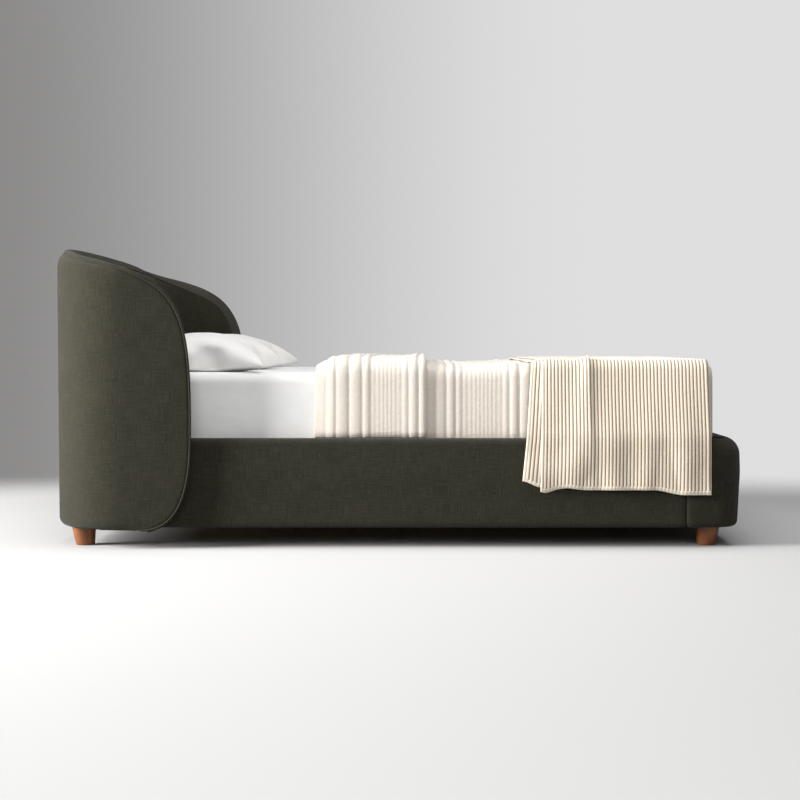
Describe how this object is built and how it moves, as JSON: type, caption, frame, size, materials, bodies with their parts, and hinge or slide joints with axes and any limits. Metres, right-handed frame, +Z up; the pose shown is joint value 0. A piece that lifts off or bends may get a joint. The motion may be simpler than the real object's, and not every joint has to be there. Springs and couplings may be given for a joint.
{
  "type": "upholstered sleigh bed",
  "caption": "Upholstered bed with a wraparound curved headboard, a low rounded footboard, padded side rails, mattress, pillows, channel quilt and ribbed knit throw.",
  "frame": {"origin": "on the floor, under the middle of the bed's length and width", "axes": "+X from the headboard to the footboard, +Y to the left of a person lying in the bed, +Z up"},
  "size_m": [2.3, 1.8, 1],
  "materials": {
    "linen": "dark olive slubby linen weave",
    "piping": "corded linen welt",
    "timber": "planed pine and bent plywood, unfinished",
    "leg_wood": "red-brown stained hardwood, satin",
    "slat_wood": "planed spruce",
    "steel": "zinc-plated steel",
    "foot_plastic": "black moulded nylon",
    "foam": "open-cell polyurethane foam",
    "springs": "pocket springs in non-woven fabric",
    "sheet": "white cotton percale",
    "pillow": "white cotton pillowcase",
    "quilt": "cream cotton, channel quilted",
    "throw": "cream ribbed knit with tan gaps"
  },
  "bodies": {
    "frame": {"headboard_outer_cover": "linen", "headboard_edge_band": "linen", "headboard_inner_pad": "linen", "side_rail_cover_left": "linen", "side_rail_cover_right": "linen", "footboard_cover": "linen", "wing_piping": "piping", "headboard_rail_bottom": "timber", "headboard_rail_middle": "timber", "headboard_rail_top": "timber", "headboard_post_left": "timber", "headboard_post_right": "timber", "wing_panel_left": "timber", "wing_panel_right": "timber", "corner_block_left": "timber", "corner_block_right": "timber", "side_rail_board_left": "timber", "side_rail_board_right": "timber", "slat_ledger_left": "timber", "slat_ledger_right": "timber", "footboard_frame": "timber", "footboard_block_left": "timber", "footboard_block_right": "timber", "cross_rail_head": "timber", "cross_rail_foot": "timber", "centre_beam": "timber", "centre_leg_head": "timber", "centre_leg_foot": "timber", "leg_head_left": "leg_wood", "leg_head_right": "leg_wood", "leg_foot_left": "leg_wood", "leg_foot_right": "leg_wood", "leg_plates": "steel", "leg_bolts": "steel", "rail_hook_plates": "steel", "rail_socket_plates": "steel", "bracket_screws": "steel", "beam_hangers": "steel", "slat_01": "slat_wood", "slat_02": "slat_wood", "slat_03": "slat_wood", "slat_04": "slat_wood", "slat_05": "slat_wood", "slat_06": "slat_wood", "slat_07": "slat_wood", "slat_08": "slat_wood", "slat_09": "slat_wood", "slat_10": "slat_wood", "slat_11": "slat_wood", "slat_12": "slat_wood"},
    "mattress": {"mattress_base_foam": "foam", "mattress_spring_unit": "springs", "mattress_comfort_foam": "foam", "fitted_sheet": "sheet"},
    "pillow_left": {"pillow_left": "pillow"},
    "pillow_right": {"pillow_right": "pillow"},
    "quilt": {"quilt": "quilt"},
    "throw": {"throw": "throw"},
    "leveller_head": {"leveller_head": "foot_plastic"},
    "leveller_foot": {"leveller_foot": "foot_plastic"}
  },
  "joints": [
    {"name": "mattress_lift", "type": "slide", "parent": "frame", "child": "mattress", "axis": [0, 0, 1], "range_m": [0, 0.75]},
    {"name": "pillow_left_lift", "type": "slide", "parent": "mattress", "child": "pillow_left", "axis": [0, 0, 1], "range_m": [0, 0.45]},
    {"name": "pillow_right_lift", "type": "slide", "parent": "mattress", "child": "pillow_right", "axis": [0, 0, 1], "range_m": [0, 0.45]},
    {"name": "quilt_lift", "type": "slide", "parent": "mattress", "child": "quilt", "axis": [0, 0, 1], "range_m": [0, 0.3]},
    {"name": "throw_lift", "type": "slide", "parent": "quilt", "child": "throw", "axis": [0, 0, 1], "range_m": [0, 0.46]},
    {"name": "leveller_head_screw", "type": "slide", "parent": "frame", "child": "leveller_head", "axis": [0, 0, 1], "range_m": [0, 0.015]},
    {"name": "leveller_foot_screw", "type": "slide", "parent": "frame", "child": "leveller_foot", "axis": [0, 0, 1], "range_m": [0, 0.015]}
  ]
}
